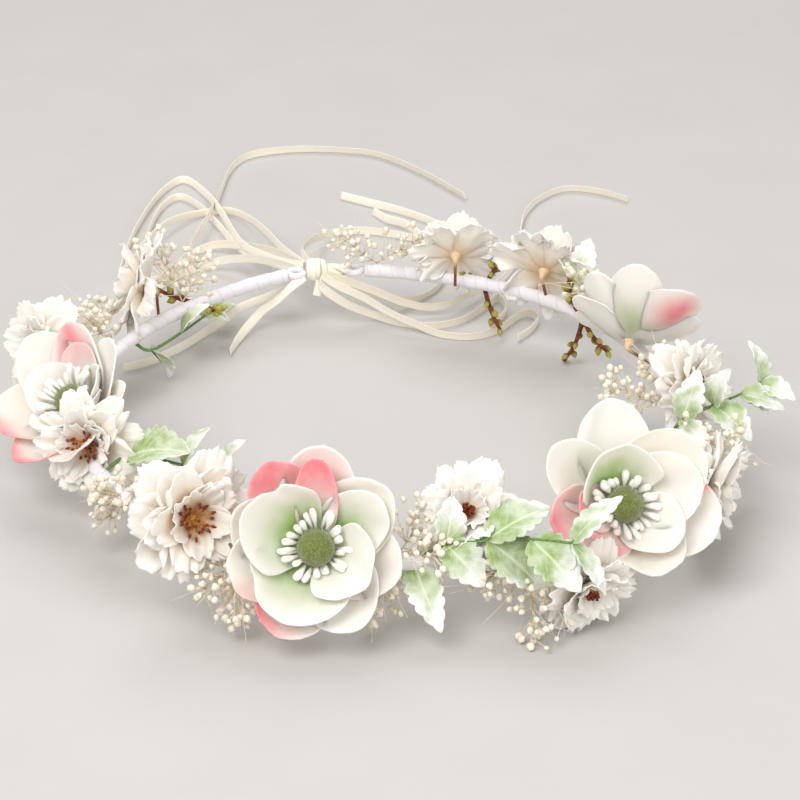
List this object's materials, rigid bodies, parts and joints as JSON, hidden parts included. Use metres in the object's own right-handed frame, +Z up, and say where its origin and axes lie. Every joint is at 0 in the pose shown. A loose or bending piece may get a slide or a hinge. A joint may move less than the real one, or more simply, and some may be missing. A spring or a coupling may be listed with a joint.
{
  "type": "flower crown",
  "caption": "Flower crown: wire hoop bound in tape and tied at the back with satin ribbons, dressed with moulded anemones, silk blossoms, leaf sprigs, dried gypsophila and budded twigs",
  "frame": {"origin": "centre of the crown's box, without its ribbons, at the surface that it stands on", "axes": "+Z up through the opening, -Y the forehead, +Y the tie at the back, +X the wearer's left"},
  "size_m": [0.2547, 0.3622, 0.0536],
  "materials": {
    "wire": "galvanised iron wire, inside the tape",
    "tape": "white floral tape, wound in a spiral",
    "cord": "cream cotton cord, matt",
    "ribbon": "ivory satin ribbon, soft sheen",
    "stem_wire": "green paper-covered wire",
    "anemone_petal": "moulded soft petal, cream white with a pink edge and a green throat",
    "pearl_stamen": "pearl-ended stamens on stiff thread",
    "felt": "olive felted wool ball",
    "blossom_petal": "pressed silk petals, frilled edge",
    "blossom_heart": "amber centre with dark red-brown stamens",
    "leaf": "dusty green moulded leaf with a frosted tip",
    "dried_flower": "dried cream gypsophila",
    "twig": "brown-red twig with yellow-green buds"
  },
  "bodies": {
    "root": {"hoop_wire": "wire", "hoop_wrap": "tape", "end_eyes": "tape", "tie_knot": "cord", "tie_twist": "cord", "flower_stems": "stem_wire", "ribbon_loop_outer": "ribbon", "ribbon_loop_inner": "ribbon", "ribbon_tail_far": "ribbon", "ribbon_tail_back": "ribbon", "ribbon_tail_crossing": "ribbon", "ribbon_tail_curl_1": "ribbon", "ribbon_tail_curl_2": "ribbon", "ribbon_tail_right": "ribbon", "ribbon_tail_short": "ribbon", "ribbon_tail_left": "ribbon", "anemone_front_left_outer_petals": "anemone_petal", "anemone_front_left_inner_petals": "anemone_petal", "anemone_front_left_stamens": "pearl_stamen", "anemone_front_left_pompom": "felt", "anemone_front_right_outer_petals": "anemone_petal", "anemone_front_right_inner_petals": "anemone_petal", "anemone_front_right_stamens": "pearl_stamen", "anemone_front_right_pompom": "felt", "anemone_left_outer_petals": "anemone_petal", "anemone_left_inner_petals": "anemone_petal", "anemone_left_stamens": "pearl_stamen", "anemone_left_pompom": "felt", "anemone_right_outer_petals": "anemone_petal", "anemone_right_inner_petals": "anemone_petal", "anemone_right_stamens": "pearl_stamen", "anemone_right_pompom": "felt", "blossom_1_petals": "blossom_petal", "blossom_1_heart": "blossom_heart", "blossom_2_petals": "blossom_petal", "blossom_2_heart": "blossom_heart", "blossom_3_petals": "blossom_petal", "blossom_3_heart": "blossom_heart", "blossom_4_petals": "blossom_petal", "blossom_4_heart": "blossom_heart", "blossom_5_petals": "blossom_petal", "blossom_5_heart": "blossom_heart", "blossom_6_petals": "blossom_petal", "blossom_6_heart": "blossom_heart", "blossom_7_petals": "blossom_petal", "blossom_7_heart": "blossom_heart", "blossom_8_petals": "blossom_petal", "blossom_8_heart": "blossom_heart", "blossom_9_petals": "blossom_petal", "blossom_9_heart": "blossom_heart", "blossom_10_petals": "blossom_petal", "blossom_10_heart": "blossom_heart", "leaf_sprig_left": "leaf", "leaf_sprig_front": "leaf", "leaf_sprig_right": "leaf", "leaf_sprig_back_right": "leaf", "leaf_sprig_back_left": "leaf", "dried_sprays": "dried_flower", "twig_sprigs": "twig"}
  },
  "joints": []
}
